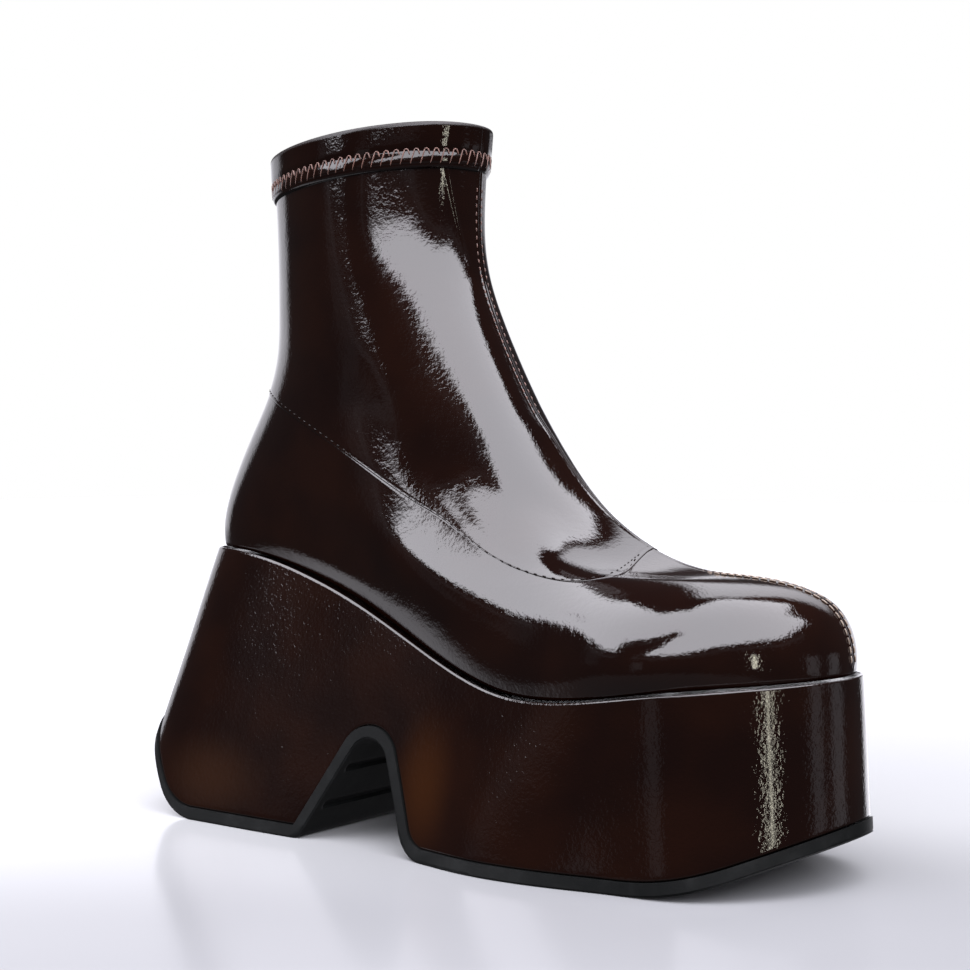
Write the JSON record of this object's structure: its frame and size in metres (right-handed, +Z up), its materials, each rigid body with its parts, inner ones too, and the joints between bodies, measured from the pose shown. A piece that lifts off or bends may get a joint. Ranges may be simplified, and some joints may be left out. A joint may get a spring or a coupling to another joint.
{
  "type": "ankle boot",
  "caption": "Right-foot ankle boot with a chunky flared platform and heel, a notch under the arch, a rounded-square toe and a narrow shaft open at the collar.",
  "frame": {"origin": "on the ground, under the middle of the boot's bounding box", "axes": "+X towards the toe, +Y towards the inner (medial) side of the foot, +Z up"},
  "size_m": [0.2821, 0.1012, 0.2576],
  "materials": {
    "rubber": "black rubber, semi-matt",
    "patent_wrap": "dark chocolate-brown patent wrapped over the block",
    "patent": "dark chocolate-brown crinkled patent, very glossy",
    "footbed": "matt brown lining cloth"
  },
  "bodies": {
    "root": {"outsole": "rubber", "platform": "patent_wrap", "upper": "patent", "insole": "footbed"}
  },
  "joints": []
}
